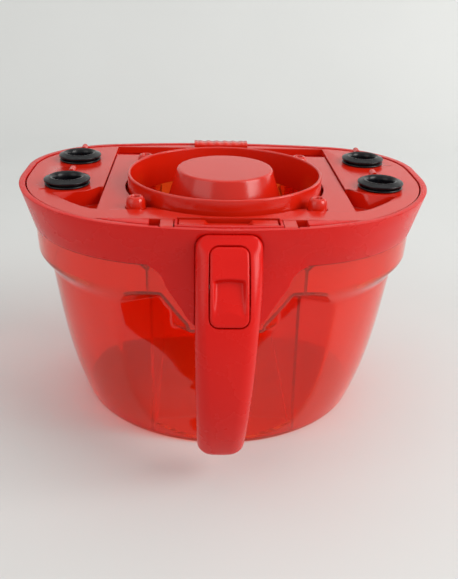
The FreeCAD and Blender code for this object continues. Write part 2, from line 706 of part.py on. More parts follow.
LID_INSET = size("pocket_inset") + size("lid_gap")
SEAL_PLACES = (("front", size("front_seal_y")), ("rear", size("rear_seal_y")))
BOSS_SIGNS = ((1, -1), (1, 1), (-1, 1), (-1, -1))


def at_bosses(make):
    """Calls a maker at each of the duct's four screw bosses."""
    return [make(i, size("boss_x") * sx, size("boss_y") * sy)
            for i, (sx, sy) in enumerate(BOSS_SIGNS)]


def platform_hollow(side, word):
    """The space under a side platform, open to the chamber below."""
    points = [(84.0, 84.0), (84.0, -8.0), (91.0, -16.5), (97.0, -20.5), (135.0, -20.5),
              (135.0, 84.0)]
    points = [(x * side, y) for x, y in points]
    profile = path(f"platform_{word}_outline", "XY", 151.0, points)
    ceiling = size("lid_top") - size("platform_thickness")
    prism = extrude(f"platform_{word}_prism", profile, ceiling - 151.0)
    inside = slab(f"platform_{word}_inside", 150.5, ceiling, size("skirt_inset") + 2.5,
                  size("lid_front") + 2.5)
    return common(f"platform_{word}", prism, inside)


def deck_region(side, word):
    """The space that a side deck takes up inside the lid's outer wall."""
    points = [(84.0, 90.0), (84.0, -13.8), (88.5, -19.5), (95.0, -23.5), (112.0, -26.5),
              (140.0, -31.4), (140.0, 90.0)]
    points = [(x * side, y) for x, y in points]
    profile = path(f"deck_{word}_outline", "XY", 150.0, points)
    prism = extrude(f"deck_{word}_prism", profile, 30.0)
    inside = slab(f"deck_{word}_inside", 149.0, 182.0, size("skirt_inset") + 2.5,
                  size("lid_front") + 2.5)
    return common(f"deck_{word}_region", prism, inside)


def front_pocket(side, word):
    """The three-cornered pocket in front of a side platform."""
    points = [(79.0, -57.5), (83.0, -57.5), (89.0, -53.5), (96.5, -46.5), (104.5, -37.5),
              (112.0, -26.5), (95.0, -23.5), (88.5, -19.5), (83.0, -12.5), (79.0, -12.5)]
    points = [(x * side, y) for x, y in points]
    profile = path(f"pocket_{word}_outline", "XY", size("lid_floor_top"), points)
    return extrude(f"pocket_{word}", profile, 20.0)


def hinge_lug(side, word):
    x0, x1 = span(side, size("lug_inner_x"), size("lug_outer_x"))
    hinge_y, hinge_z = size("hinge_y"), size("hinge_z")
    barrel = cylinder(f"lug_{word}_barrel", size("lug_radius"), x1 - x0, x0, hinge_y, hinge_z,
                      V(1, 0, 0))
    arm = box(f"lug_{word}_arm", x0, x1, hinge_y, size("lid_front") + 1.0,
              size("pocket_floor") + 0.3, hinge_z + size("lug_radius"))
    return join(f"lug_{word}", [barrel, arm])


def locating_peg(side, word, row, seal_y):
    """A round-topped peg behind a seal."""
    x, y = size("seal_x") * side, seal_y + 18.0
    top = size("lid_top")
    post = box(f"peg_{row}_{word}_post", x - 2.3, x + 2.3, y, y + 9.0, top - 1.0, top + 2.7)
    crown = cylinder(f"peg_{row}_{word}_crown", 2.3, 9.0, x, y, top + 2.7, V(0, 1, 0))
    return join(f"peg_{row}_{word}", [post, crown])


def make_lid_frame():
    top, foot, front = size("lid_top"), size("lid_foot"), size("lid_front")
    rim_foot = size("pocket_floor") + size("lid_lift")
    rim = slab("lid_rim", rim_foot, top, LID_INSET, front)
    skirt = slab("lid_skirt", foot, rim_foot, size("skirt_inset"), front)
    pillars = at_bosses(lambda i, x, y: cylinder(f"pillar{i}", 4.0, foot - 147.5, x, y, 147.5))
    pegs = [locating_peg(side, word, row, y)
            for row, y in SEAL_PLACES for side, word in ((1, "right"), (-1, "left"))]
    solid = join("lid_solid", [rim, skirt] + mirrored(hinge_lug) + pillars + pegs)

    floor_top, half = size("lid_floor_top"), size("recess_half_width")
    recess = box("lid_recess", -half, half, size("recess_front"), size("recess_back"), floor_top,
                 180.0)
    bulge = cylinder("lid_bulge", size("recess_radius"), 30.0, z=floor_top)
    throat = cylinder("lid_throat", size("duct_radius") + 1.5, 20.0, z=140.0)
    notch = box("latch_notch", -30.4, 30.4, -80.0, -72.2, 150.0, 170.0)
    screw_ways = at_bosses(lambda i, x, y: cylinder(f"pillar_bore{i}", 1.5, 9.0, x, y, 147.5))
    seal_holes = [cylinder(f"seal_hole_{row}_{word}", size("seal_neck"), 8.0,
                           size("seal_x") * side, y, 160.0)
                  for row, y in SEAL_PLACES for side, word in ((1, "right"), (-1, "left"))]

    def lug_bore(side, word):
        x0, x1 = span(side, size("lug_inner_x") - 1.0, size("lug_outer_x") + 1.0)
        return cylinder(f"lug_bore_{word}", size("hinge_pin_radius") + size("running_gap"),
                        x1 - x0, x0, size("hinge_y"), size("hinge_z"), V(1, 0, 0))

    tools = [recess, bulge, throat, notch] + screw_ways + seal_holes
    tools += mirrored(lug_bore) + mirrored(front_pocket) + mirrored(platform_hollow)
    whole = cut("lid_whole", solid, *tools)
    regions = mirrored(deck_region)
    node(cut("lid", whole, *regions), "lid_frame")
    for region, word in zip(regions, ("right", "left")):
        node(common(f"deck_{word}", whole, region), f"port_deck_{word}")


def make_lid_trim():
    """The gasket under the lid's edge and the ribbed finger tab at its back."""
    foot = size("lid_foot")
    outer = slab("lid_gasket_outer", size("ledge_top") + 0.3, foot, size("skirt_inset") + 0.2,
                 size("lid_front") + 0.3)
    inner = slab("lid_gasket_inner", size("ledge_top"), foot + 1.0, size("skirt_inset") + 3.6,
                 size("lid_front") + 3.2)
    notch = box("gasket_notch", -31.0, 31.0, -80.0, -72.2, 150.0, 154.0)
    ring = cut("lid_gasket_ring", outer, inner)
    patch = box("gasket_patch", -34.0, 34.0, -72.2, -70.7, size("ledge_top") + 0.3, foot)
    node(join("lid_gasket_body", [cut("lid_gasket_notched", ring, notch), patch]), "lid_gasket")

    top = size("lid_top")
    seat = box("grip_seat", -21.0, 21.0, 95.0, 102.4, top, 168.0)
    tab = box("grip_tab", -21.0, 21.0, 102.4, 107.0, 166.4, 168.0)
    ridges = [box(f"grip_ridge{i}", 6.6 * i - 1.1, 6.6 * i + 1.1, 96.0, 106.0, 167.5, 168.8)
              for i in range(-2, 3)]
    node(join("grip", [seat, tab] + ridges), "lid_grip")


def make_duct():
    plate_half, front, back = size("plate_half_width"), size("plate_front"), size("plate_back")
    top, thick, skirt_foot = size("plate_top"), size("plate_thickness"), dim(154.9)
    block = box("plate_block", -plate_half, plate_half, front, back, skirt_foot, top)
    under = box("plate_under", -plate_half + 2.0, plate_half - 2.0, front + 2.0, back - 2.0,
                skirt_foot - 1.0, top - thick)
    flange_room = cylinder("plate_flange_room", size("recess_radius"), top - thick - 150.0,
                           z=150.0)
    hole = cylinder("plate_hole", size("duct_radius") + 1.7, 20.0, z=155.0)
    boss_rooms = at_bosses(lambda i, x, y: cylinder(f"plate_notch{i}",
                                                    size("boss_radius") + 1.7, 20.0, x, y, 155.0))
    boss_ways = [box(f"plate_way{i}", *sorted((sx * 44.0, sx * 57.0)), *sorted((sy * 38.0,
                                                                               sy * 50.0)),
                     160.0, 170.0) for i, (sx, sy) in enumerate(BOSS_SIGNS)]
    node(cut("plate", block, under, flange_room, hole, *boss_rooms, *boss_ways), "duct_plate")

    outer, wall = size("duct_radius"), size("duct_wall")
    ring_top, ring_foot = size("duct_top"), size("duct_foot")
    flange_foot, flange_top = size("flange_foot"), size("flange_top")
    flange_r = size("flange_radius")
    profile = path("duct_profile", "XZ", 0.0, [
        (outer - wall, ring_foot), (outer, ring_foot), (outer, flange_foot),
        (flange_r, flange_foot), (flange_r, flange_top), (outer, flange_top),
        (outer, ring_top - 0.9), (outer - 0.6, ring_top), (outer - wall + 0.6, ring_top),
        (outer - wall, ring_top - 0.9)])
    ring = revolve("duct_turned", profile)
    boss_r, boss_top = size("boss_radius"), size("boss_top")
    feet = at_bosses(lambda i, x, y: cylinder(f"boss_foot{i}", 6.1, flange_top - flange_foot, x,
                                              y, flange_foot))
    bosses = at_bosses(lambda i, x, y: cylinder(f"boss{i}", boss_r, boss_top - flange_foot, x, y,
                                                flange_foot))
    room = cylinder("duct_bore", outer - wall, 40.0, z=140.0)
    solid = cut("duct_solid", join("duct_joined", [ring] + feet + bosses), room)
    doc.recompute()
    rims = [(i + 1, 1.6, 1.6) for i, edge in enumerate(solid.Shape.Edges)
            if abs(edge.BoundBox.ZMin - boss_top.value) < 0.01
            and abs(edge.BoundBox.ZMax - boss_top.value) < 0.01]
    domed = doc.addObject("Part::Fillet", "duct_domed")
    domed.Base = solid
    domed.Edges = rims
    wells = at_bosses(lambda i, x, y: cylinder(f"boss_well{i}", 2.9, 20.0, x, y, 163.0))
    ways = at_bosses(lambda i, x, y: cylinder(f"boss_way{i}", 1.5, 10.0, x, y, 154.0))
    node(cut("duct", domed, *wells, *ways), "duct_ring")

    gasket = path("duct_gasket_profile", "XZ", 0.0, [
        (outer + 1.9, size("lid_floor_top")), (flange_r, size("lid_floor_top")),
        (flange_r, flange_foot), (outer + 1.9, flange_foot)])
    node(revolve("duct_gasket_turned", gasket), "duct_gasket")

    def screw(i, x, y):
        head = cylinder(f"duct_screw_head{i}", 2.7, 2.0, x, y, 163.0)
        shank = cylinder(f"duct_screw_shank{i}", 1.5, 14.5, x, y, 148.5)
        socket = cylinder(f"duct_screw_socket{i}", 1.2, 2.0, x, y, 164.0)
        return cut(f"duct_screw{i}", join(f"duct_screw_solid{i}", [head, shank]), socket)

    node(join("duct_screw_group", at_bosses(screw)), "duct_screws")


def make_cone():
    top, foot, wall = size("cone_top"), size("cone_foot"), size("cone_wall")
    top_r, foot_r = size("cone_top_radius"), size("cone_foot_radius")
    profile = path("cone_profile", "XZ", 0.0, [
        (0.0, top - wall), (top_r - wall, top - wall), (foot_r - wall, foot), (foot_r, foot),
        (top_r, top - 0.8), (top_r - 0.8, top), (0.0, top)])
    cone = revolve("cone_turned", profile)
    spoke_front = box("spoke_front", -1.2, 1.2, -63.2, -38.6, 150.8, 156.0)
    spoke_back = box("spoke_back", -1.2, 1.2, 38.6, 63.2, 150.8, 156.0)
    node(join("cone", [cone, spoke_front, spoke_back]), "deflector_cone")


def make_seals():
    """Four rubber grommets, each with two lips above its platform and one below."""
    lip, neck, bore = size("seal_radius"), size("seal_neck"), size("seal_bore")
    top, deck = size("seal_top"), size("lid_top")
    under = deck - size("platform_thickness")
    waist = lip - 3.4
    for row, seal_y in SEAL_PLACES:
        for side, word in ((1, "right"), (-1, "left")):
            label = f"seal_{row}_{word}"
            body = doc.addObject("PartDesign::Body", f"{label}_body")
            plane = [f for f in body.Origin.OriginFeatures if f.Role == "XZ_Plane"][0]
            sketch = body.newObject("Sketcher::SketchObject", f"{label}_profile")
            sketch.AttachmentSupport = (plane, "")
            sketch.MapMode = "FlatFace"
            fill_path(sketch, [
                (bore, under - 1.8), (neck + 2.0, under - 1.8), (neck + 2.6, under - 0.6),
                (neck + 2.6, under), (neck, under), (neck, deck), (lip - 0.9, deck),
                (lip, deck + 0.7), (lip, deck + 1.5), (lip - 0.8, deck + 2.0),
                (waist, deck + 2.1), (waist, deck + 3.5), (lip - 0.6, deck + 3.7),
                (lip, deck + 4.3), (lip - 0.2, deck + 4.9), (lip - 1.6, top - 0.3),
                (lip - 3.2, top), (bore + 1.4, top - 1.0), (bore, top - 2.6)])
            turn = body.newObject("PartDesign::Revolution", f"{label}_turn")
            turn.Profile = sketch
            turn.ReferenceAxis = (sketch, ["V_Axis"])
            turn.Angle = 360.0
            node(place(body, size("seal_x") * side, seal_y, 0.0), label)


def check_and_export():
    """Stops at a failed object, then writes each sub-part's shape to its own file."""
    doc.recompute()
    for obj in doc.Objects:
        if "Invalid" in obj.State or "Error" in obj.State:
            raise RuntimeError(f"{obj.Name} failed: {obj.State}")
    os.makedirs("parts", exist_ok=True)
    for obj in nodes:
        shape = obj.Shape
        if shape.isNull() or not shape.isValid() or not shape.Solids:
            raise RuntimeError(f"{obj.Label} has no valid solid")
        shape.exportStep(f"parts/{obj.Label}.step")
        solids = len(shape.Solids)
        print(f"{obj.Label}: {solids} solid{'s' if solids > 1 else ''}, {shape.Volume:.0f} mm3")


bowl_cavity = make_bowl()
make_partitions(bowl_cavity)
collar_solid = make_collar()
make_hinge_pins()
make_handle(collar_solid)
make_button()
make_button_spring()
make_latch_bar()
make_lid_frame()
make_lid_trim()
make_duct()
make_cone()
make_seals()
check_and_export()
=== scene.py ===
import json
import math

import bmesh
import bpy
import numpy as np
from mathutils import Matrix, Vector

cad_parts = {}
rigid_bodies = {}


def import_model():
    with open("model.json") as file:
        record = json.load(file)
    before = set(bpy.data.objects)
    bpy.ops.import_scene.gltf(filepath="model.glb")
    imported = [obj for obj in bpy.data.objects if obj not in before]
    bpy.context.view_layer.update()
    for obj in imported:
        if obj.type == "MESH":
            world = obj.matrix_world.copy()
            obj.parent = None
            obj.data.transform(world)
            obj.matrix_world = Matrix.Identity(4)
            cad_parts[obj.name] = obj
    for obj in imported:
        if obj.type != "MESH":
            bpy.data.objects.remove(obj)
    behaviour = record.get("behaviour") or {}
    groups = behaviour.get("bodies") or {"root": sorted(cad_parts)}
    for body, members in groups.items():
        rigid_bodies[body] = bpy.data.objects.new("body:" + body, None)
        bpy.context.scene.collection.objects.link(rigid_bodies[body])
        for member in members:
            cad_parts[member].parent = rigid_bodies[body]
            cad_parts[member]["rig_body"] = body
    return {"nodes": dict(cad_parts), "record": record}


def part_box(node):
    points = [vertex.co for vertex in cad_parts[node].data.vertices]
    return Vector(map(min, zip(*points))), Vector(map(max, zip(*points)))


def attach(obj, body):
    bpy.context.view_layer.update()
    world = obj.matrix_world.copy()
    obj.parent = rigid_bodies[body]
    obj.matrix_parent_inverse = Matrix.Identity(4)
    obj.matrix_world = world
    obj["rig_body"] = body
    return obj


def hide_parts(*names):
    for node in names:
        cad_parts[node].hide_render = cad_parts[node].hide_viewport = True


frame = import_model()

# Shapes below are worked out in millimetres and stored in metres.
MM = 0.001
WELD = 2e-6
FLAT_ANGLE = math.radians(0.05)
BEVEL_ANGLE = math.radians(30.0)
EDGE_ROUND = 0.9 * MM
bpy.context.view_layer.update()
nodes = frame["nodes"]


# ------------------------------------------------------------------ materials

def new_material(name, base, roughness, **sockets):
    """A Principled material; a number or colour that is the same all over sits on its socket."""
    material = bpy.data.materials.new(name)
    material.use_nodes = True
    tree = material.node_tree
    shader = tree.nodes["Principled BSDF"]
    shader.inputs["Base Color"].default_value = (*base, 1.0)
    shader.inputs["Roughness"].default_value = roughness
    for socket, value in sockets.items():
        shader.inputs[socket.replace("_", " ")].default_value = value
    return material, tree, shader


def noise(tree, scale, detail=4.0, stretch=(1.0, 1.0, 1.0)):
    """Noise over the object's own coordinates, in metres."""
    place = tree.nodes.new("ShaderNodeTexCoord")
    mapping = tree.nodes.new("ShaderNodeMapping")
    mapping.inputs["Scale"].default_value = stretch
    texture = tree.nodes.new("ShaderNodeTexNoise")
    texture.inputs["Scale"].default_value = scale
    texture.inputs["Detail"].default_value = detail
    tree.links.new(place.outputs["Object"], mapping.inputs["Vector"])
    tree.links.new(mapping.outputs["Vector"], texture.inputs["Vector"])
    return texture.outputs["Fac"]


def spread(tree, factor, low, high, start=0.3, end=0.7):
    """Maps a factor to numbers from low to high."""
    ramp = tree.nodes.new("ShaderNodeMapRange")
    ramp.inputs["From Min"].default_value = start
    ramp.inputs["From Max"].default_value = end
    ramp.inputs["To Min"].default_value = low
    ramp.inputs["To Max"].default_value = high
    tree.links.new(factor, ramp.inputs["Value"])
    return ramp.outputs["Result"]


def blend_colours(tree, factor, first, second):
    mix = tree.nodes.new("ShaderNodeMix")
    mix.data_type = "RGBA"
    mix.inputs[6].default_value = (*first, 1.0)
    mix.inputs[7].default_value = (*second, 1.0)
    tree.links.new(factor, mix.inputs[0])
    return mix.outputs[2]


def bump(tree, shader, height, strength, distance, edge=0.0):
    """Relief from a height; an edge radius also rounds the sharp edges that the light finds."""
    node = tree.nodes.new("ShaderNodeBump")
    if edge:
        rounding = tree.nodes.new("ShaderNodeBevel")
        rounding.samples = 4
        rounding.inputs["Radius"].default_value = edge
        tree.links.new(rounding.outputs["Normal"], node.inputs["Normal"])
    node.inputs["Strength"].default_value = strength
    node.inputs["Distance"].default_value = distance
    tree.links.new(height, node.inputs["Height"])
    tree.links.new(node.outputs["Normal"], shader.inputs["Normal"])


def moulded_plastic(name, base, roughness, grain, shine):
    """Injection-moulded plastic: faint flow marks in its colour, handled patches, fine grain."""
    material, tree, shader = new_material(name, base, roughness, Specular_IOR_Level=shine)
    darker = tuple(channel * 0.93 for channel in base)
    lighter = tuple(min(channel * 1.04 + 0.002, 1.0) for channel in base)
    flow = noise(tree, 9.0, 3.0, (1.0, 1.0, 0.35))
    colour = blend_colours(tree, spread(tree, flow, 0.0, 1.0), darker, lighter)
    tree.links.new(colour, shader.inputs["Base Color"])
    patches = noise(tree, 38.0, 5.0)
    tree.links.new(spread(tree, patches, roughness * 0.88, roughness * 1.14),
                   shader.inputs["Roughness"])
    bump(tree, shader, noise(tree, grain, 2.0), 0.05, 0.0002, EDGE_ROUND)
    return material


def make_clear_plastic():
    """Red polycarbonate: a faintly milky glass that lets the lamps' light through, tinted."""
    tint = (0.98, 0.078, 0.010)
    material, tree, shader = new_material("clear_red", tint, 0.04, Transmission_Weight=0.86,
                                          IOR=1.5)
    wear = noise(tree, 60.0, 5.0)
    tree.links.new(spread(tree, wear, 0.02, 0.06), shader.inputs["Roughness"])
    clear = tree.nodes.new("ShaderNodeBsdfTransparent")
    clear.inputs["Color"].default_value = (0.98, 0.44, 0.33, 1.0)
    path = tree.nodes.new("ShaderNodeLightPath")
    mix = tree.nodes.new("ShaderNodeMixShader")
    tree.links.new(path.outputs["Is Shadow Ray"], mix.inputs[0])
    tree.links.new(shader.outputs["BSDF"], mix.inputs[1])
    tree.links.new(clear.outputs["BSDF"], mix.inputs[2])
    tree.links.new(mix.outputs["Shader"], tree.nodes["Material Output"].inputs["Surface"])
    return material


def make_rubber():
    material, tree, shader = new_material("black_rubber", (0.006, 0.006, 0.008), 0.22,
                                          Specular_IOR_Level=0.28)
    smears = noise(tree, 70.0, 4.0)
    tree.links.new(spread(tree, smears, 0.14, 0.34), shader.inputs["Roughness"])
    dust = noise(tree, 220.0, 6.0)
    colour = blend_colours(tree, spread(tree, dust, 0.0, 1.0, 0.55, 0.8),
                           (0.005, 0.005, 0.007), (0.014, 0.014, 0.016))
    tree.links.new(colour, shader.inputs["Base Color"])
    bump(tree, shader, noise(tree, 420.0, 3.0), 0.06, 0.0003)
    return material


def make_steel():
    material, tree, shader = new_material("bright_steel", (0.66, 0.65, 0.63), 0.22, Metallic=1.0)
    lines = noise(tree, 300.0, 4.0, (0.1, 1.0, 1.0))
    tree.links.new(spread(tree, lines, 0.14, 0.34), shader.inputs["Roughness"])
    bump(tree, shader, lines, 0.06, 0.0002)
    return material


SHELL_RED = moulded_plastic("shell_red", (0.63, 0.0040, 0.0014), 0.27, 900.0, 0.25)
LID_RED = moulded_plastic("lid_red", (0.60, 0.0120, 0.0020), 0.18, 500.0, 0.5)
CLEAR_RED = make_clear_plastic()
RUBBER = make_rubber()
STEEL = make_steel()
SLOT_MATERIAL = {"shell": SHELL_RED, "lid": LID_RED, "bowl": CLEAR_RED, "rubber": RUBBER,
                 "steel": STEEL}
node_slot = {s["node"]: s["material_slot"] for s in frame["record"]["subparts"]}


# ------------------------------------------------------------------ mesh helpers

def add_piece(name, mesh, body, slot, *replaced):
    """Puts a mesh in the scene as a piece that rides on a body and stands for CAD nodes."""
    piece = bpy.data.objects.new(name, mesh)
    bpy.context.scene.collection.objects.link(piece)
    mesh.materials.clear()
    mesh.materials.append(SLOT_MATERIAL[slot])
    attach(piece, body)
    if replaced:
        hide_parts(*replaced)
    return piece


def mesh_from(name, points, faces, sharp_angle=40.0):
    """A smooth-shaded mesh from points in millimetres."""
    mesh = bpy.data.meshes.new(name)
    mesh.from_pydata((np.asarray(points, float) * MM).tolist(), [], faces)
    mesh.validate()
    shade(mesh, sharp_angle)
    return mesh


def shade(mesh, sharp_angle):
    mesh.polygons.foreach_set("use_smooth", [True] * len(mesh.polygons))
    mesh.set_sharp_from_angle(angle=math.radians(sharp_angle))


def grid_faces(rows, columns, closed=True, start=0):
    """Quads between rows of points; closed joins each row's last point to its first."""
    faces = []
    for row in range(rows - 1):
        for column in range(columns if closed else columns - 1):
            after = (column + 1) % columns
            low, high = start + row * columns, start + (row + 1) * columns
            faces.append((low + column, low + after, high + after, high + column))
    return faces


def sheet_faces(rows, columns):
    """Faces of a closed body between two grids of points, the second listed after the first."""
    first = grid_faces(rows, columns, closed=False)
    offset = rows * columns
    second = [tuple(reversed([i + offset for i in face])) for face in first]
    rim = list(range(columns))
    rim += [row * columns + columns - 1 for row in range(1, rows)]
    rim += [(rows - 1) * columns + i for i in range(columns - 2, -1, -1)]
    rim += [row * columns for row in range(rows - 2, 0, -1)]
    sides = [(after, here, here + offset, after + offset)
             for here, after in zip(rim, rim[1:] + rim[:1])]
    return first + second + sides


def rings_mesh(name, rings, sharp_angle=40.0):
    """A closed body through a stack of rings, its two ends filled."""
    rings = [np.asarray(ring, float) for ring in rings]
    count = len(rings[0])
    faces = grid_faces(len(rings), count)
    faces.append(tuple(reversed(range(count))))
    faces.append(tuple(range((len(rings) - 1) * count, len(rings) * count)))
    return mesh_from(name, np.concatenate(rings), faces, sharp_angle)


def lathe(name, turned, sharp_angle=40.0):
    """Ring-shaped bodies turned from closed profiles of (radius, z), as (x, y, steps, profile)."""
    points, faces = [], []
    for x, y, steps, profile in turned:
        start = len(points)
        for radius, z in profile:
            points += [(x + radius * math.cos(a), y + radius * math.sin(a), z)
                       for a in np.linspace(0, 2 * math.pi, steps, endpoint=False)]
        faces += grid_faces(len(profile), steps, start=start)
        last = start + (len(profile) - 1) * steps
        faces += [(last + i, last + (i + 1) % steps, start + (i + 1) % steps, start + i)
                  for i in range(steps)]
    return mesh_from(name, points, faces, sharp_angle)


def outward(mesh):
    """Turns every face of a closed mesh outwards."""
    form = bmesh.new()
    form.from_mesh(mesh)
    bmesh.ops.recalc_face_normals(form, faces=form.faces)
    form.to_mesh(mesh)
    form.free()
    return mesh


def baked_mesh(piece):
    """A piece's mesh with its modifiers applied; the piece itself goes."""
    bpy.context.view_layer.update()
    depsgraph = bpy.context.evaluated_depsgraph_get()
    mesh = bpy.data.meshes.new_from_object(piece.evaluated_get(depsgraph))
    bpy.data.objects.remove(piece)
    return mesh


def loose_piece(mesh):
    piece = bpy.data.objects.new(mesh.name, mesh)
    bpy.context.scene.collection.objects.link(piece)
    return piece


def add_boolean(piece, operation, other):
    step = piece.modifiers.new(operation.lower(), "BOOLEAN")
    step.operation = operation
    step.solver = "EXACT"
    step.object = other


def joined_nodes(names, cuts):
    """CAD nodes as one mesh, grooved by cutters, its flat and smooth faces each made one."""
    first, *others = [loose_piece(nodes[name].data.copy()) for name in names]
    for other in others:
        add_boolean(first, "UNION", other)
    for groove in cuts:
        add_boolean(first, "DIFFERENCE", groove)
    mesh = baked_mesh(first)
    for other in others:
        bpy.data.objects.remove(other)
    form = bmesh.new()
    form.from_mesh(mesh)
    bmesh.ops.remove_doubles(form, verts=form.verts, dist=WELD)
    bmesh.ops.dissolve_limit(form, angle_limit=FLAT_ANGLE, verts=form.verts, edges=form.edges)
    form.to_mesh(mesh)
    form.free()
    return mesh


def levelled(mesh):
    """A mesh whose large flat faces keep flat shading up to their rounded edges."""
    form = bmesh.new()
    form.from_mesh(mesh)
    bmesh.ops.triangulate(form, faces=[face for face in form.faces if len(face.verts) > 4],
                          ngon_method="BEAUTY")
    form.to_mesh(mesh)
    form.free()
    shade(mesh, 50.0)
    piece = loose_piece(mesh)
    level = piece.modifiers.new("level", "WEIGHTED_NORMAL")
    level.keep_sharp = True
    return baked_mesh(piece)


def softened(width, segments, *names, flat=True, cuts=()):
    """CAD nodes as one moulding, its sharp edges rounded by a bevel."""
    mesh = joined_nodes(names, cuts)
    mesh.name = f"{names[0]}_soft"
    piece = loose_piece(mesh)
    edge = piece.modifiers.new("edges", "BEVEL")
    edge.width = width * MM
    edge.segments = segments
    edge.limit_method = "ANGLE"
    edge.angle_limit = BEVEL_ANGLE
    edge.use_clamp_overlap = True
    edge.miter_outer = "MITER_ARC"
    mesh = baked_mesh(piece)
    if flat:
        mesh = levelled(mesh)
    else:
        shade(mesh, 50.0)
    body, slot = nodes[names[0]]["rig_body"], node_slot[names[0]]
    return add_piece(f"{names[0]}_shape", mesh, body, slot, *names)


# ------------------------------------------------------------------ bowl

WALL = 2.6
FLOOR_TOP = 3.0
SECTION_LEVELS = (0.0, 25.0, 60.0, 107.0, 121.0, 139.5)
# half width, side arc's centre (x, y), front radius, corner arc's centre (x, y), back radius
SECTIONS = np.array([
    (103.5, 2.0, 34.0, 105.0, 56.0, 35.0, 400.0),
    (111.0, 6.0, 31.0, 125.0, 60.0, 35.0, 430.0),
    (117.3, 12.0, 26.0, 150.0, 64.0, 36.0, 450.0),
    (122.3, 24.0, 18.5, 200.0, 68.0, 36.0, 460.0),
    (130.0, 34.0, 15.5, 231.0, 74.0, 36.0, 462.0),
    (131.0, 34.0, 15.5, 232.0, 74.0, 36.0, 463.0),
])
SHOULDER, BAND = 3, 4


def section_at(level):
    """The bowl's section at a level: a cubic up to the shoulder, an S to the band above it."""
    if level <= SECTION_LEVELS[SHOULDER]:
        total = np.zeros(SECTIONS.shape[1])
        for i in range(SHOULDER + 1):
            weight = 1.0
            for j in range(SHOULDER + 1):
                if j != i:
                    weight *= ((level - SECTION_LEVELS[j])
                               / (SECTION_LEVELS[i] - SECTION_LEVELS[j]))
            total += weight * SECTIONS[i]
        return total
    lower = SHOULDER if level < SECTION_LEVELS[BAND] else BAND
    share = ((level - SECTION_LEVELS[lower])
             / (SECTION_LEVELS[lower + 1] - SECTION_LEVELS[lower]))
    if lower == SHOULDER:
        share = share * share * (3.0 - 2.0 * share)
    return SECTIONS[lower] * (1.0 - share) + SECTIONS[lower + 1] * share


def arc_points(centre, radius, start, end, count):
    angles = np.linspace(start, end, count, endpoint=False)
    return np.stack([centre[0] + radius * np.cos(angles), centre[1] + radius * np.sin(angles)], 1)


def outline(section, inset=0.0, front=120, side=64, straight=4, corner=26, back=60):
    """Points round a section, anticlockwise from its front left."""
    half, side_x, side_y, front_r, corner_x, corner_y, back_r = section
    side_r, corner_r = half - side_x - inset, half - corner_x - inset
    front_r, back_r = front_r - inset, back_r - inset
    front_y = side_y + math.sqrt((front_r - side_r) ** 2 - side_x ** 2)
    lean = math.atan2(side_y - front_y, side_x)
    back_y = corner_y - math.sqrt((back_r - corner_r) ** 2 - corner_x ** 2)
    rear = math.atan2(corner_y - back_y, corner_x)
    width = half - inset
    climb = np.linspace(side_y, corner_y, straight, endpoint=False)
    return np.concatenate([
        arc_points((0, front_y), front_r, -math.pi - lean, lean, front),
        arc_points((side_x, side_y), side_r, lean, 0, side),
        np.stack([np.full(straight, width), climb], 1),
        arc_points((corner_x, corner_y), corner_r, 0, rear, corner),
        arc_points((0, back_y), back_r, rear, math.pi - rear, back),
        arc_points((-corner_x, corner_y), corner_r, math.pi - rear, math.pi, corner),
        np.stack([np.full(straight, -width), corner_y + side_y - climb], 1),
        arc_points((-side_x, side_y), side_r, math.pi, math.pi - lean, side),
    ])


def soft_max(first, second, blend):
    """The larger of two, with a rounded change-over."""
    near = np.clip(blend - np.abs(first - second), 0.0, None) / blend
    return np.maximum(first, second) + near * near * blend * 0.25


SCOOP_LEVELS = (3.0, 15.0, 40.0, 80.0, 107.0, 120.5, 140.0)
SCOOP_MIDDLE = (-70.5, -59.5, -55.5, -52.0, -52.0, -88.5, -140.0)
SCOOP_EDGE = (-71.5, -66.7, -68.6, -73.4, -75.1, -74.5, -95.0)
SCOOP_REACH = 80.0
TONGUE_FOOT = 97.0
TONGUE_SLOPE = 3.1


def front_cut(x, level):
    """How far back the finger scoop pushes the front, spared by the tongue behind the handle."""
    middle = np.interp(level, SCOOP_LEVELS, SCOOP_MIDDLE)
    edge = np.interp(level, SCOOP_LEVELS, SCOOP_EDGE)
    scoop = middle + (edge - middle) * (x / SCOOP_REACH) ** 2
    half = np.interp(level, (97.0, 103.0, 117.0, 130.0), (19.0, 24.0, 34.0, 44.0))
    beyond = soft_max((np.abs(x) - half) * 0.8, TONGUE_FOOT - level, 4.0)
    tongue = -95.0 + TONGUE_SLOPE * beyond
    return -soft_max(-scoop, -tongue, 2.5)


def bowl_ring(level, inset=0.0, height=None):
    ring = outline(section_at(level), inset)
    y = soft_max(ring[:, 1], front_cut(ring[:, 0], level) + inset, 1.4)
    return np.stack([ring[:, 0], y, np.full(len(ring), level if height is None else height)], 1)


def make_bowl():
    """The clear tub: its outer skin, thickened inwards."""
    rings = []
    flat = bowl_ring(0.0, 1.7)
    middle = np.array([0.0, 12.0, 0.0])
    for share in (0.02, 0.2, 0.4, 0.6, 0.8, 0.93):
        rings.append(middle + (flat - middle) * share)
    for height, inset in ((0.0, 1.7), (0.25, 0.8), (0.8, 0.2)):
        rings.append(bowl_ring(height, inset))
    levels = np.concatenate([np.linspace(1.7, 104.0, 58), np.linspace(105.0, 124.0, 40),
                             np.linspace(126.0, 139.4, 7)])
    rings += [bowl_ring(level) for level in levels]
    for height in (139.45, 142.0, 145.3):
        rings.append(bowl_ring(139.45, 2.55, height))
    count = len(rings[0])
    faces = grid_faces(len(rings), count)
    faces.append(tuple(reversed(range(count))))
    piece = loose_piece(mesh_from("bowl_skin", np.concatenate(rings), faces))
    wall = piece.modifiers.new("wall", "SOLIDIFY")
    wall.thickness = WALL * MM
    wall.offset = -1.0
    mesh = baked_mesh(piece)
    shade(mesh, 60.0)
    return add_piece("bowl_shape", mesh, "container", "bowl", "dust_bowl")


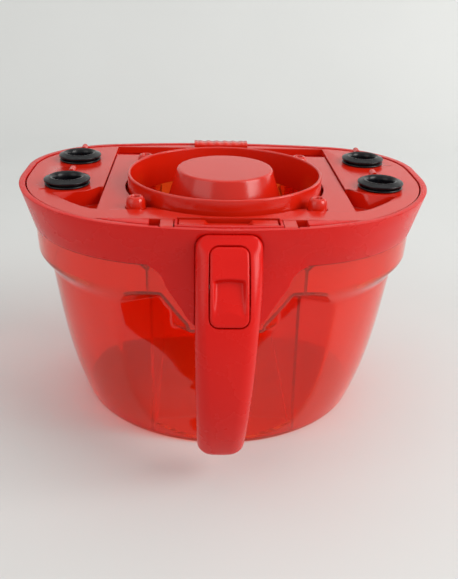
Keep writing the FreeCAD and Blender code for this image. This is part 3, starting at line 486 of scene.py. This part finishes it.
def inner_front(x, level):
    """Where the bowl's inner face lies in front, at a place between its sides."""
    half, side_x, side_y, front_r, *_ = section_at(level)
    front_y = side_y + math.sqrt((front_r - half + side_x) ** 2 - side_x ** 2)
    y = front_y - math.sqrt(front_r ** 2 - x ** 2)
    slope = 1.25 if 104.0 < level < 122.0 else 1.1
    return float(soft_max(np.array(y), front_cut(np.array(x), level), 1.4)) + WALL * slope


def inner_back(x, level):
    half, _, _, _, corner_x, corner_y, back_r = section_at(level)
    back_y = corner_y - math.sqrt((back_r - half + corner_x) ** 2 - corner_x ** 2)
    return back_y + math.sqrt(back_r ** 2 - x ** 2) - WALL * 1.05


def make_partition(side, word):
    """A clear wall between two chambers, flared outwards at its top."""
    near, thick, bend, top = 47.0, 2.0, 134.0, 146.0
    levels = np.concatenate([[FLOOR_TOP + 0.05, FLOOR_TOP + 0.6], np.linspace(6.0, 133.0, 52),
                             np.linspace(bend, top, 7)])
    rings = []
    for level in levels:
        flare = max(level - bend, 0.0)
        read = min(level, 139.0)
        root = 0.9 * max(0.0, 1.0 - (level - FLOOR_TOP) / 1.5)
        front = inner_front(near, read) + (2.5 if level > 139.0 else 0.0)
        back = inner_back(near, read) - (2.5 if level > 139.0 else 0.0)
        inner, outer = near + flare - root, near + flare + thick + root
        ring = [(side * inner, front), (side * outer, front), (side * outer, back),
                (side * inner, back)]
        if side < 0:
            ring.reverse()
        rings.append([(x, y, level) for x, y in ring])
    mesh = rings_mesh(f"partition_{word}", rings, 30.0)
    return add_piece(f"partition_{word}_shape", mesh, "container", "bowl", f"partition_{word}")


# ------------------------------------------------------------------ handle and button

GRIP_CENTRE = np.array([-11.4, 82.3])
GRIP_OUTER, GRIP_INNER = 116.6, 97.6
APRON_Y, COLLAR_FOOT, COLLAR_LEAN = -87.9, 139.5, 0.29
HANDLE_TOP = 163.4
HANDLE_LEVELS = (25.0, 45.0, 80.0, 110.0, 135.0, 163.0)
HANDLE_HALVES = (14.8, 15.6, 17.1, 18.1, 19.1, 19.7)
HANDLE_CORNER = 9.0
HANDLE_EMBED = 1.1
FACE_RADIUS = 239.0
END_ANGLE = -29.4


def on_grip(angle, radius):
    a = math.radians(angle)
    return GRIP_CENTRE + radius * np.array([-math.cos(a), math.sin(a)])


def collar_face(height):
    """The y of the apron's and the collar's outer face at the middle."""
    return APRON_Y - COLLAR_LEAN * max(height - COLLAR_FOOT, 0.0)


def rounded_section(half, depth, front_r, back_r, crown=0.7, corner_steps=7, flat_steps=10):
    """A ring of (x, d): a rounded rectangle from the back, d = 0, to the crowned front."""
    def corner(cx, cd, radius, start):
        angles = np.radians(np.linspace(start, start + 90.0, corner_steps))
        return [(cx + radius * math.cos(a), cd + radius * math.sin(a)) for a in angles]

    front_r = min(front_r, depth * 0.48, half * 0.9)
    back_r = min(back_r, depth * 0.48, half * 0.9)
    ring = corner(half - back_r, back_r, back_r, -90.0)
    ring += corner(half - front_r, depth - front_r, front_r, 0.0)
    across = np.linspace(half - front_r, front_r - half, flat_steps + 2)[1:-1]
    ring += [(x, depth) for x in across]
    ring += corner(front_r - half, depth - front_r, front_r, 90.0)
    ring += corner(back_r - half, back_r, back_r, 180.0)
    bulge = [crown * (1.0 - (x / half) ** 2) * (d / depth) ** 2 for x, d in ring]
    return [(x, d + b - crown * (d / depth) ** 2) for (x, d), b in zip(ring, bulge)]


def handle_half_width(height):
    half = float(np.interp(height, HANDLE_LEVELS, HANDLE_HALVES))
    above = height - (HANDLE_TOP - HANDLE_CORNER)
    if above > 0.0:
        half -= HANDLE_CORNER - math.sqrt(max(HANDLE_CORNER ** 2 - above ** 2, 0.0))
    return half


def grip_lean(height):
    """How far the grip leans to the left as it comes down."""
    return float(np.interp(height, (25.0, 40.0, 75.0, 110.0, 132.0, 150.0),
                           (-3.0, -2.8, -2.1, -1.3, -0.4, 0.0)))


def section_ring(back, front, half, front_r, back_r, crown=1.2):
    """A handle section in the plane through a back point and a front point."""
    back, front = np.asarray(back, float), np.asarray(front, float)
    depth = float(np.linalg.norm(front - back))
    along = (front - back) / depth
    ring = rounded_section(half, depth, front_r, back_r, crown)
    return [(x + grip_lean(front[1]), *(back + along * d)) for x, d in ring]


def handle_rings():
    rings = []
    middle_r, half_depth = (GRIP_OUTER + GRIP_INNER) / 2, (GRIP_OUTER - GRIP_INNER) / 2
    a = math.radians(END_ANGLE)
    tangent = np.array([-math.sin(a), -math.cos(a)])
    for turn in (88.0, 80.0, 70.0, 60.0, 50.0, 40.0, 30.0, 20.0, 10.0):
        t = math.radians(turn)
        reach = tangent * half_depth * math.sin(t) * 1.06
        squeeze = half_depth * math.cos(t) ** 0.9
        half = 14.9 * math.cos(t) ** 0.82
        rings.append(section_ring(on_grip(END_ANGLE, middle_r - squeeze) + reach,
                                  on_grip(END_ANGLE, middle_r + squeeze) + reach,
                                  half, 8.0, 6.5, 1.2 * math.cos(t)))
    for angle in np.linspace(END_ANGLE, 2.0, 30):
        front = on_grip(angle, GRIP_OUTER)
        half = handle_half_width(max(front[1], 25.0))
        rings.append(section_ring(on_grip(angle, GRIP_INNER), front, half, 8.2, 6.5))
    arch_centre, arch_r = np.array([-103.6, 101.3]), 14.2
    for share in np.linspace(0.12, 1.0, 9):
        angle = 2.0 + 9.0 * share
        front = on_grip(angle, GRIP_OUTER)
        turn = math.radians(-111.0 + 99.0 * share)
        back = arch_centre + arch_r * np.array([math.cos(turn), math.sin(turn)])
        back[1] = min(back[1], 98.2)
        rings.append(section_ring(back, front, handle_half_width(front[1]), 8.0 - share,
                                  6.0 - 4.5 * share))
    for angle in np.linspace(12.5, 38.5, 24):
        front = on_grip(angle, GRIP_OUTER)
        along = front - GRIP_CENTRE
        along /= np.linalg.norm(along)
        reach = (APRON_Y + 1.0 - GRIP_CENTRE[0]) / along[0]
        back = GRIP_CENTRE + along * reach
        back[0] = collar_face(back[1]) + HANDLE_EMBED
        rings.append(section_ring(back, front, handle_half_width(front[1]), 6.8, 1.8))
    edge = 2.6
    for height in np.concatenate([np.linspace(157.0, HANDLE_TOP - edge, 8),
                                  HANDLE_TOP - edge + edge * np.sin(
                                      np.radians(np.linspace(15.0, 88.0, 7)))]):
        rise = height - GRIP_CENTRE[1]
        arc_y = GRIP_CENTRE[0] - math.sqrt(GRIP_OUTER ** 2 - rise ** 2)
        over = max(height - (HANDLE_TOP - edge), 0.0) / edge
        step = 2.4 + 1.4 * (HANDLE_TOP - height) / 8.0
        proud = collar_face(height) - step
        front_y = min(arc_y, proud)
        face_y = collar_face(height)
        back_y = face_y + HANDLE_EMBED
        front_y = face_y + (front_y - face_y) * math.sqrt(max(1.0 - over ** 2, 0.003))
        rings.append(section_ring((back_y, height), (front_y, height),
                                  handle_half_width(height), 5.4, 1.8))
    return rings


def rounded_rectangle(half_x, half_s, radius, steps=8):
    """Points round a rectangle with round corners, anticlockwise."""
    ring = []
    for cx, cs, start in ((1, 1, 0), (-1, 1, 90), (-1, -1, 180), (1, -1, 270)):
        for angle in np.radians(np.linspace(start, start + 90, steps)):
            ring.append((cx * (half_x - radius) + radius * math.cos(angle),
                         cs * (half_s - radius) + radius * math.sin(angle)))
    return ring


BUTTON_LOW, BUTTON_HIGH, BUTTON_STEP = 17.7, 40.6, 30.5
BUTTON_HALF = 11.2
BUTTON_BACK = 110.6
BUTTON_MIDDLE = (BUTTON_LOW + BUTTON_HIGH) / 2
DEGREE = math.radians(1.0) * GRIP_OUTER


def wrap_on_grip(x, s, radius):
    """A point x across and s along the grip from the button's middle, at a radius."""
    y, z = on_grip(BUTTON_MIDDLE + s / DEGREE, radius)
    return (x, y, z)


def make_handle():
    handle = loose_piece(rings_mesh("handle", handle_rings(), 50.0))
    half_s = (BUTTON_HIGH - BUTTON_LOW) / 2 * DEGREE
    flare = 0.5
    rings = []
    layers = [(104.0, 0.0, 0.5), (114.2, 0.0, 0.5), (114.9, 0.0, 0.0)]
    layers += [(115.0 + flare * math.sin(t) * 1.6, flare * (1 - math.cos(t)), 0.0)
               for t in np.radians((20, 40, 60, 75))]
    layers += [(121.0, flare * 1.6, 0.0)]
    for radius, grow, foot_room in layers:
        ring = rounded_rectangle(BUTTON_HALF + 0.2 + grow, half_s + 0.35 + grow + foot_room,
                                 5.6 + grow)
        rings.append([wrap_on_grip(x, s - foot_room, radius) for x, s in ring])
    well = loose_piece(outward(rings_mesh("button_well", rings)))
    box = [[(x, y, z) for x, y in ((-5.4, -99.0), (5.4, -99.0), (5.4, -80.0), (-5.4, -80.0))]
           for z in (149.6, 157.0)]
    window = loose_piece(outward(rings_mesh("arm_window", box)))
    for cutter in (well, window):
        add_boolean(handle, "DIFFERENCE", cutter)
    mesh = baked_mesh(handle)
    for cutter in (well, window):
        bpy.data.objects.remove(cutter)
    shade(mesh, 38.0)
    return add_piece("handle_shape", mesh, "container", "shell", "handle_outer_shell",
                     "handle_inner_shell")


def smooth(value):
    """Eases a number from 0 to 1."""
    value = min(max(value, 0.0), 1.0)
    return value * value * (3.0 - 2.0 * value)


def button_height(x, s, half_s):
    """The button's outer radius: a raised pad above a step, and a thumb scoop under it."""
    across = x / (BUTTON_HALF - 2.0)
    step_s = (BUTTON_STEP - BUTTON_MIDDLE) * DEGREE + 0.9 * (1.0 - across ** 2)
    low_s = -half_s + 9.0 - 4.0 * across ** 2
    share = min(max((s - low_s) / (step_s - low_s), 0.0), 1.0)
    depth = 3.5 * share ** 0.85
    depth *= smooth((BUTTON_HALF - 1.6 - abs(x)) / 2.6)
    depth *= 1.0 - smooth((s - step_s + 1.1) / 2.2)
    dish = 0.3 * math.exp(-((s - step_s - 6.5) / 4.5) ** 2) * (1 - (x / BUTTON_HALF) ** 2)
    return GRIP_OUTER + 0.3 - depth - dish


def make_button():
    half_s = (BUTTON_HIGH - BUTTON_LOW) / 2 * DEGREE
    corner_r, edge_r = 5.2, 1.5
    step_s = (BUTTON_STEP - BUTTON_MIDDLE) * DEGREE
    ends = half_s - edge_r * (1 - np.cos(np.radians(np.linspace(0, 90, 7)))) * 0.999
    rows = np.unique(np.concatenate([
        -ends, ends, np.linspace(-half_s + edge_r, half_s - edge_r, 70),
        np.linspace(step_s - 1.2, step_s + 2.6, 18)]).round(4))
    columns = 52
    top, bottom = [], []
    for s in rows:
        over = abs(s) - (half_s - corner_r)
        reach = BUTTON_HALF if over <= 0 else (BUTTON_HALF - corner_r
                                               + math.sqrt(max(corner_r ** 2 - over ** 2, 0.0)))
        for u in np.linspace(-1.0, 1.0, columns):
            x = reach * math.sin(u * math.pi / 2)
            inside_x = reach - abs(x)
            inside_s = half_s - abs(s)
            if over > 0:
                from_corner = math.hypot(max(abs(x) - (BUTTON_HALF - corner_r), 0.0), over)
                inside = min(corner_r - from_corner, inside_s)
            else:
                inside = min(inside_x, inside_s)
            inside = max(inside, 0.0)
            drop = 0.0
            if inside < edge_r:
                drop = edge_r - math.sqrt(max(edge_r ** 2 - (edge_r - inside) ** 2, 0.0))
            height = button_height(x, s, half_s) - drop
            top.append(wrap_on_grip(x, s, height))
            bottom.append(wrap_on_grip(x, s, BUTTON_BACK))
    mesh = outward(mesh_from("button", top + bottom, sheet_faces(len(rows), columns), 50.0))
    form = bmesh.new()
    form.from_mesh(mesh)
    add_bar(form, (0.0, -106.8, 136.0), 3.9, BUTTON_HALF - 0.1)
    add_block(form, (-4.5, -104.0, 150.4), (4.5, -80.0, 153.2))
    form.to_mesh(mesh)
    form.free()
    shade(mesh, 50.0)
    return add_piece("button_shape", mesh, "button", "shell", "release_button")


def add_bar(form, centre, radius, half):
    """A round bar along X."""
    turn = Matrix.Rotation(math.radians(90), 4, "Y")
    bmesh.ops.create_cone(form, cap_ends=True, segments=40, radius1=radius * MM,
                          radius2=radius * MM, depth=2 * half * MM,
                          matrix=Matrix.Translation(Vector(centre) * MM) @ turn)


def add_block(form, low, high, edge=0.6):
    """A block with rounded edges."""
    low, high = Vector(low) * MM, Vector(high) * MM
    scale = Matrix.Diagonal((*(high - low), 1.0))
    made = bmesh.ops.create_cube(form, size=1.0,
                                 matrix=Matrix.Translation((low + high) / 2) @ scale)
    edges = list({e for v in made["verts"] for e in v.link_edges})
    bmesh.ops.bevel(form, geom=edges, offset=edge * MM, segments=2, affect="EDGES")


# ------------------------------------------------------------------ grooves

# half width, side arc's centre (x, y), front radius, corner arc's centre (x, y), back radius
RIM = (139.0, 34.0, 13.4, 240.0, 74.0, 36.0, 471.0)


def rim_groove():
    """A cutter for the groove between the collar's rim and the lid's edge."""
    near, far, floor, above = 4.6, 5.8, 163.4, 170.0
    points = []
    for inset, height in ((near, floor), (near, above), (far, above), (far, floor)):
        ring = outline(RIM, inset)
        points.append(np.column_stack([ring, np.full(len(ring), height)]))
    count = len(points[0])
    faces = grid_faces(len(points), count)
    faces += [(3 * count + i, 3 * count + (i + 1) % count, (i + 1) % count, i)
              for i in range(count)]
    return loose_piece(outward(mesh_from("rim_groove", np.concatenate(points), faces)))


def handle_groove():
    """A cutter for the shadow line in the collar round the handle's upper end."""
    border, depth, clear, foot, straight_foot = 0.4, 0.7, 8.0, 100.0, 110.0
    corner_r, top = HANDLE_CORNER + border, HANDLE_TOP + border
    heights = np.concatenate([np.linspace(foot, top - corner_r, 30),
                              top - corner_r * (1 - np.sin(np.radians(
                                  np.linspace(5, 88, 18))))])
    columns = 41
    back, front = [], []
    for height in heights:
        level = max(height, straight_foot)
        half = float(np.interp(level, HANDLE_LEVELS, HANDLE_HALVES)) + border
        above = max(height - (top - corner_r), 0.0)
        half -= corner_r - math.sqrt(max(corner_r ** 2 - above ** 2, 0.0))
        for x in np.linspace(-half, half, columns):
            y = collar_face(height) + x * x / (2.0 * FACE_RADIUS)
            x += grip_lean(height)
            back.append((x, y + depth, height))
            front.append((x, y - clear, height))
    faces = sheet_faces(len(heights), columns)
    return loose_piece(outward(mesh_from("handle_groove", back + front, faces)))


# ------------------------------------------------------------------ seals

def make_seal(node):
    """A rubber grommet: two soft lips over a neck, turned about its own axis."""
    low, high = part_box(node)
    x, y = (low.x + high.x) / 2 / MM, (low.y + high.y) / 2 / MM
    foot, top = low.z / MM, high.z / MM
    outer = (high.x - low.x) / 2 / MM
    bore, neck, deck = 8.5, 10.5, 165.5
    waist = outer - 3.2

    def lip(low_z, high_z, tip):
        middle, half = (low_z + high_z) / 2, (high_z - low_z) / 2
        return [(tip - half + half * math.cos(t), middle + half * math.sin(t))
                for t in np.radians(np.linspace(-80, 80, 9))]

    profile = [(bore, foot), (neck + 1.9, foot)]
    profile += lip(foot + 0.1, foot + 1.7, neck + 2.6)
    profile += [(neck, 163.0), (neck, deck + 0.02), (outer - 2.0, deck + 0.05)]
    profile += lip(deck + 0.05, deck + 1.5, outer - 0.4)
    profile += [(waist, deck + 1.6), (waist, deck + 2.8)]
    profile += lip(deck + 2.8, deck + 4.3, outer)
    profile += [(outer - 2.4, top - 0.75), (outer - 3.8, top - 0.25), (bore + 3.0, top),
                (bore + 1.8, top - 0.15), (bore + 0.8, top - 0.8), (bore + 0.2, top - 2.0),
                (bore, top - 3.6)]
    mesh = lathe(f"{node}_rubber", [(x, y, 72, profile)], 46.0)
    return add_piece(f"{node}_shape", mesh, "lid", "rubber", node)


# ------------------------------------------------------------------ cone and finger tab

def make_ring():
    """The duct: a round wall with a flange, and four domed screw bosses beside it."""
    outer, inner, foot, top, edge = 65.3, 63.3, 150.6, 173.8, 0.85
    wall = [(inner, foot), (outer, foot), (outer, 156.0), (69.6, 156.0), (69.6, 158.4),
            (outer, 158.4), (outer, top - edge)]
    wall += [(outer - edge + edge * math.cos(t), top - edge + edge * math.sin(t))
             for t in np.radians((22, 45, 68, 90))]
    wall += [(inner + edge - edge * math.sin(t), top - edge + edge * math.cos(t))
             for t in np.radians((8, 22, 45, 68, 90))]
    boss = [(1.5, 156.0), (7.0, 156.0), (7.0, 158.4), (6.5, 158.6), (6.3, 161.5), (6.2, 164.5),
            (6.0, 167.0), (5.7, 168.8), (5.1, 170.2), (4.3, 171.1), (3.5, 171.4), (2.9, 171.3),
            (2.6, 170.9), (2.6, 163.0), (1.5, 163.0)]
    places = [(sx * 56.4, sy * 49.9) for sx in (-1, 1) for sy in (-1, 1)]
    turned = [(0.0, 0.0, 192, wall)] + [(x, y, 48, boss) for x, y in places]
    return add_piece("ring_shape", lathe("ring", turned, 42.0), "lid", "lid", "duct_ring")


def make_cone():
    """The deflector: a flat cap with a rounded edge over a flared skirt, on two spokes."""
    top, foot, top_r, foot_r, wall, edge = 175.9, 142.0, 32.5, 42.9, 2.0, 1.8
    lean = math.atan2(foot_r - top_r, top - foot)
    profile = [(0.02, top), (top_r * 0.5, top), (top_r - edge - 1.5, top)]
    profile += [(top_r - edge + edge * math.sin(t), top - edge + edge * math.cos(t))
                for t in np.linspace(0, math.pi / 2 - lean, 8)]
    profile += [(foot_r - 0.5, foot + 0.6), (foot_r - 0.9, foot), (foot_r - wall, foot),
                (top_r - wall, top - wall), (0.02, top - wall)]
    mesh = lathe("cone", [(0.0, 0.0, 160, profile)])
    form = bmesh.new()
    form.from_mesh(mesh)
    for low, high in ((-63.2, -38.6), (38.6, 63.2)):
        add_block(form, (-1.2, low, 150.8), (1.2, high, 156.0), 0.3)
    form.to_mesh(mesh)
    form.free()
    shade(mesh, 40.0)
    return add_piece("cone_shape", mesh, "lid", "lid", "deflector_cone")


def make_grip():
    """The finger tab at the lid's back, its top waved into soft ribs."""
    low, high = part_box("lid_grip")
    x0, y0, z0 = (v / MM for v in low)
    x1, y1, z1 = (v / MM for v in high)
    rows = [(y0, z0), (y0, z0 + 1.0), (y0, z1 - 1.2), (y0 + 0.3, z1 - 0.5), (y0 + 1.2, z1),
            (y0 + 4.0, z1), (y1 - 1.6, z1), (y1 - 0.5, z1 - 0.4), (y1, z1 - 1.4),
            (y1 - 0.2, z1 - 2.2), (y1 - 4.6, z1 - 2.4), (y1 - 4.6, z0)]
    ribbed = {3, 4, 5, 6, 7, 8}
    columns = 121
    points = []
    for row, (y, z) in enumerate(rows):
        for x in np.linspace(x0, x1, columns):
            wave = 0.5 - 0.5 * math.cos(2 * math.pi * x / 6.6 + math.pi)
            end = smooth((abs(x) - 18.2) / 1.0)
            dip = 0.6 * wave * (1.0 - end) if row in ribbed else 0.0
            points.append((x, y, z - dip))
    faces = grid_faces(len(rows), columns, closed=False)
    last = (len(rows) - 1) * columns
    faces += [(last + i, last + i + 1, i + 1, i) for i in range(columns - 1)]
    faces.append(tuple(row * columns for row in range(len(rows))))
    faces.append(tuple(row * columns + columns - 1 for row in reversed(range(len(rows)))))
    mesh = outward(mesh_from("grip", points, faces, 50.0))
    shade(mesh, 50.0)
    return add_piece("grip_shape", mesh, "lid", "lid", "lid_grip")


# ------------------------------------------------------------------ stage

def make_camera():
    data = bpy.data.cameras.new("camera")
    data.lens = 46.93
    data.sensor_width = 36.0
    camera = bpy.data.objects.new("camera", data)
    bpy.context.scene.collection.objects.link(camera)
    turn = (Matrix.Rotation(math.radians(-2.66), 4, "Z")
            @ Matrix.Rotation(math.radians(90 - 24.75), 4, "X")
            @ Matrix.Rotation(math.radians(1.44), 4, "Z"))
    camera.matrix_world = Matrix.Translation((-0.01825, -0.49641, 0.31440)) @ turn
    bpy.context.scene.camera = camera


def make_floor():
    """A pale table that curves up into a wall well behind the object."""
    depth, curve, height, half = 0.75, 0.5, 2.5, 4.0
    profile = [(-4.0, 0.0), (depth, 0.0)]
    profile += [(depth + curve * math.sin(t), curve - curve * math.cos(t))
                for t in np.radians(np.linspace(5, 90, 18))]
    profile += [(depth + curve, height)]
    points = [(x, y, z) for y, z in profile for x in (-half, half)]
    faces = [(2 * i, 2 * i + 1, 2 * i + 3, 2 * i + 2) for i in range(len(profile) - 1)]
    mesh = bpy.data.meshes.new("floor")
    mesh.from_pydata(points, [], faces)
    shade(mesh, 60.0)
    material, tree, shader = new_material("pale_floor", (0.63, 0.645, 0.645), 0.55)
    cloud = noise(tree, 3.0, 3.0)
    colour = blend_colours(tree, spread(tree, cloud, 0.0, 1.0), (0.62, 0.635, 0.635),
                           (0.64, 0.655, 0.655))
    tree.links.new(colour, shader.inputs["Base Color"])
    mesh.materials.append(material)
    floor = bpy.data.objects.new("floor", mesh)
    bpy.context.scene.collection.objects.link(floor)


def make_lights():
    aim = Vector((0.0, 0.0, 0.1))
    for name, where, power, size in (("window", (1.6, -0.6, 1.2), 31.0, 1.3),
                                     ("room", (-1.5, -1.1, 1.1), 9.0, 1.6),
                                     ("behind", (1.1, 0.75, 0.45), 1.6, 0.7),
                                     ("ceiling", (0.0, 0.5, 2.3), 9.0, 2.0)):
        data = bpy.data.lights.new(name, "AREA")
        data.energy = power
        data.size = size
        data.color = (1.0, 0.985, 0.96)
        lamp = bpy.data.objects.new(name, data)
        lamp.location = where
        lamp.rotation_euler = (aim - lamp.location).to_track_quat("-Z", "Y").to_euler()
        bpy.context.scene.collection.objects.link(lamp)
    world = bpy.data.worlds.new("room_light")
    world.use_nodes = True
    background = world.node_tree.nodes["Background"]
    background.inputs["Color"].default_value = (1.0, 0.985, 0.95, 1.0)
    background.inputs["Strength"].default_value = 0.585
    bpy.context.scene.world = world
    bpy.context.scene.view_settings.view_transform = "Standard"


make_camera()
make_floor()
make_lights()

for node, cad in nodes.items():
    cad.data.materials.clear()
    cad.data.materials.append(SLOT_MATERIAL[node_slot[node]])

make_bowl()
make_partition(1, "right")
make_partition(-1, "left")
grooves = (rim_groove(), handle_groove())
softened(1.0, 3, "collar", flat=False, cuts=grooves)
for groove in grooves:
    bpy.data.objects.remove(groove)
make_handle()
make_button()
softened(0.7, 2, "lid_frame", "port_deck_left", "port_deck_right")
softened(0.5, 2, "duct_plate")
make_ring()
make_cone()
softened(0.7, 2, "latch_bar")
make_grip()
for seal in ("seal_front_left", "seal_front_right", "seal_rear_left", "seal_rear_right"):
    make_seal(seal)
